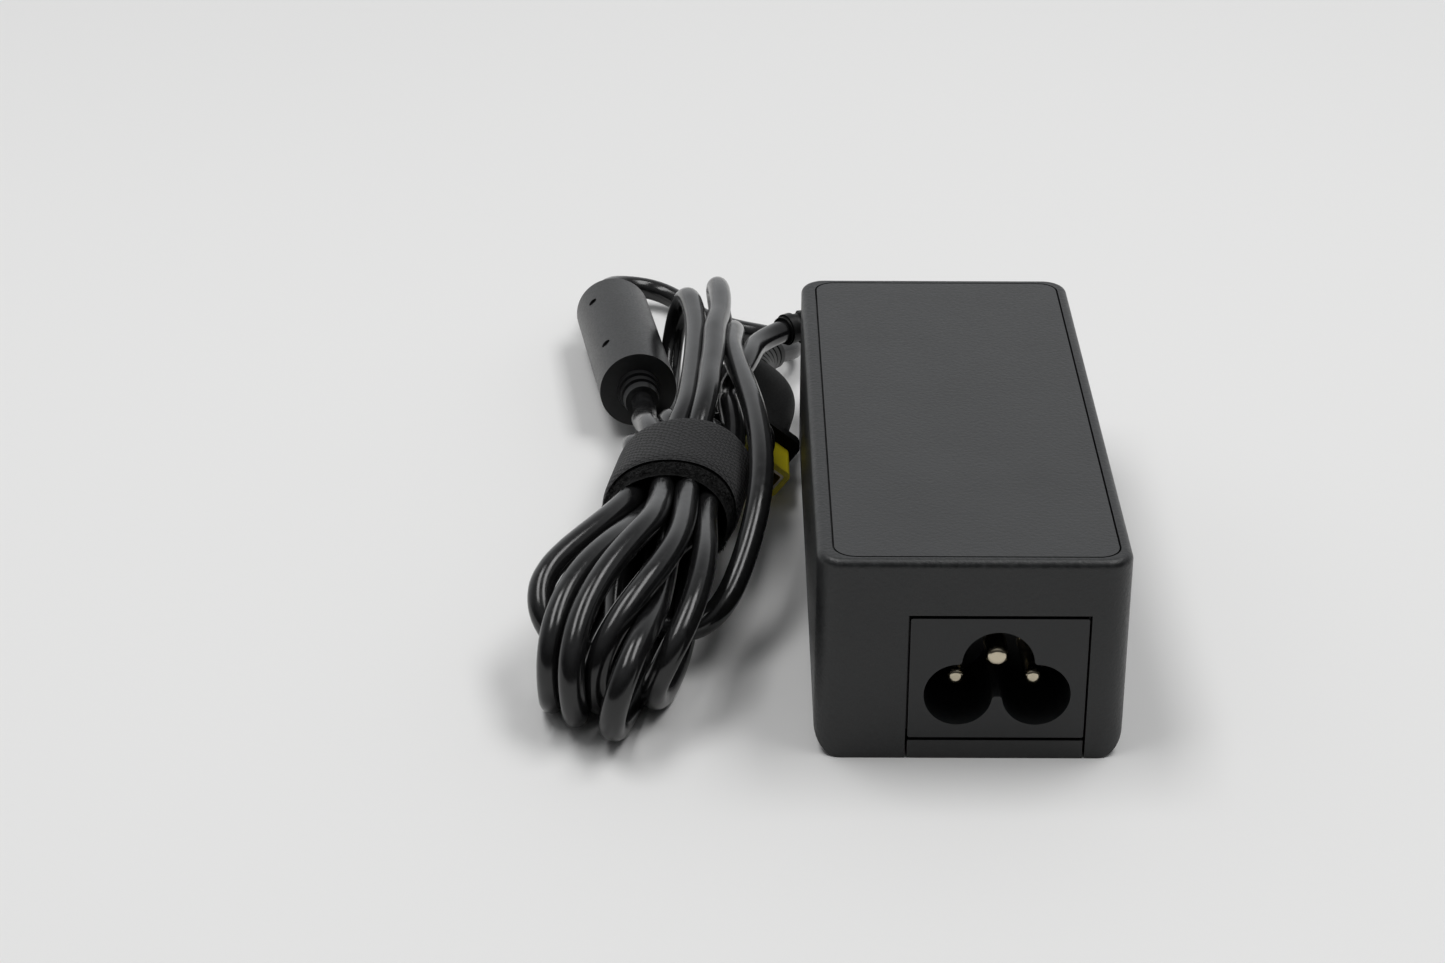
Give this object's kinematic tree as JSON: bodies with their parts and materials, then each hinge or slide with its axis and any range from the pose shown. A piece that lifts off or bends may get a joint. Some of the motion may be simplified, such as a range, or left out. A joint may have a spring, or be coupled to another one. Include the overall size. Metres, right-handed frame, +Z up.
{
  "type": "laptop power adapter",
  "caption": "Black laptop power adapter with a three-pole mains inlet, its output cord tied in a hank beside it, with a ferrite and a yellow-tipped DC plug.",
  "frame": {"origin": "centre of the underside of the case", "axes": "+Z up, -Y out of the mains inlet, +X to the right as seen from the inlet end"},
  "size_m": [0.078, 0.1581, 0.0285],
  "materials": {
    "case_plastic": "satin",
    "inlet_plastic": "satin",
    "contact_metal": "polished",
    "copper": "satin",
    "board": "satin",
    "clear_sheet": "satin",
    "component_plastic": "satin",
    "varistor_blue": "gloss",
    "film_yellow": "satin",
    "ferrite": "matte",
    "aluminium": "satin",
    "capacitor_sleeve": "gloss",
    "wire_red": "gloss",
    "cord_rubber": "satin",
    "strap_fabric": "matte",
    "moulding_plastic": "satin",
    "plug_plastic": "satin",
    "tip_yellow": "satin"
  },
  "bodies": {
    "root": {"housing": "case_plastic", "base_cover": "case_plastic", "top_panel": "case_plastic", "inlet_body": "inlet_plastic", "line_pin": "contact_metal", "neutral_pin": "contact_metal", "earth_pin": "contact_metal", "inlet_leads": "copper", "circuit_board": "board", "insulation_sheet": "clear_sheet", "fuse": "component_plastic", "varistor": "varistor_blue", "x_capacitor": "film_yellow", "choke_core": "ferrite", "choke_windings": "copper", "bridge_rectifier": "component_plastic", "primary_heatsink": "aluminium", "power_transistor": "component_plastic", "bulk_capacitor": "capacitor_sleeve", "controller_chip": "component_plastic", "transformer_core": "ferrite", "transformer_bobbin": "component_plastic", "transformer_winding": "film_yellow", "y_capacitor": "varistor_blue", "optocoupler": "component_plastic", "output_capacitors": "capacitor_sleeve", "secondary_heatsink": "aluminium", "output_rectifier": "component_plastic", "output_wires": "wire_red", "strain_relief": "cord_rubber", "dc_cord_lead": "cord_rubber", "dc_cord_hank": "cord_rubber", "dc_cord_outer_turn": "cord_rubber", "dc_cord_tail": "cord_rubber", "dc_cord_plug_end": "cord_rubber", "cord_strap": "strap_fabric", "ferrite_core": "ferrite", "ferrite_moulding": "moulding_plastic", "plug_relief": "cord_rubber", "plug_grip": "plug_plastic", "plug_tip": "tip_yellow", "plug_sleeve": "contact_metal", "plug_centre_pin": "contact_metal"}
  },
  "joints": []
}
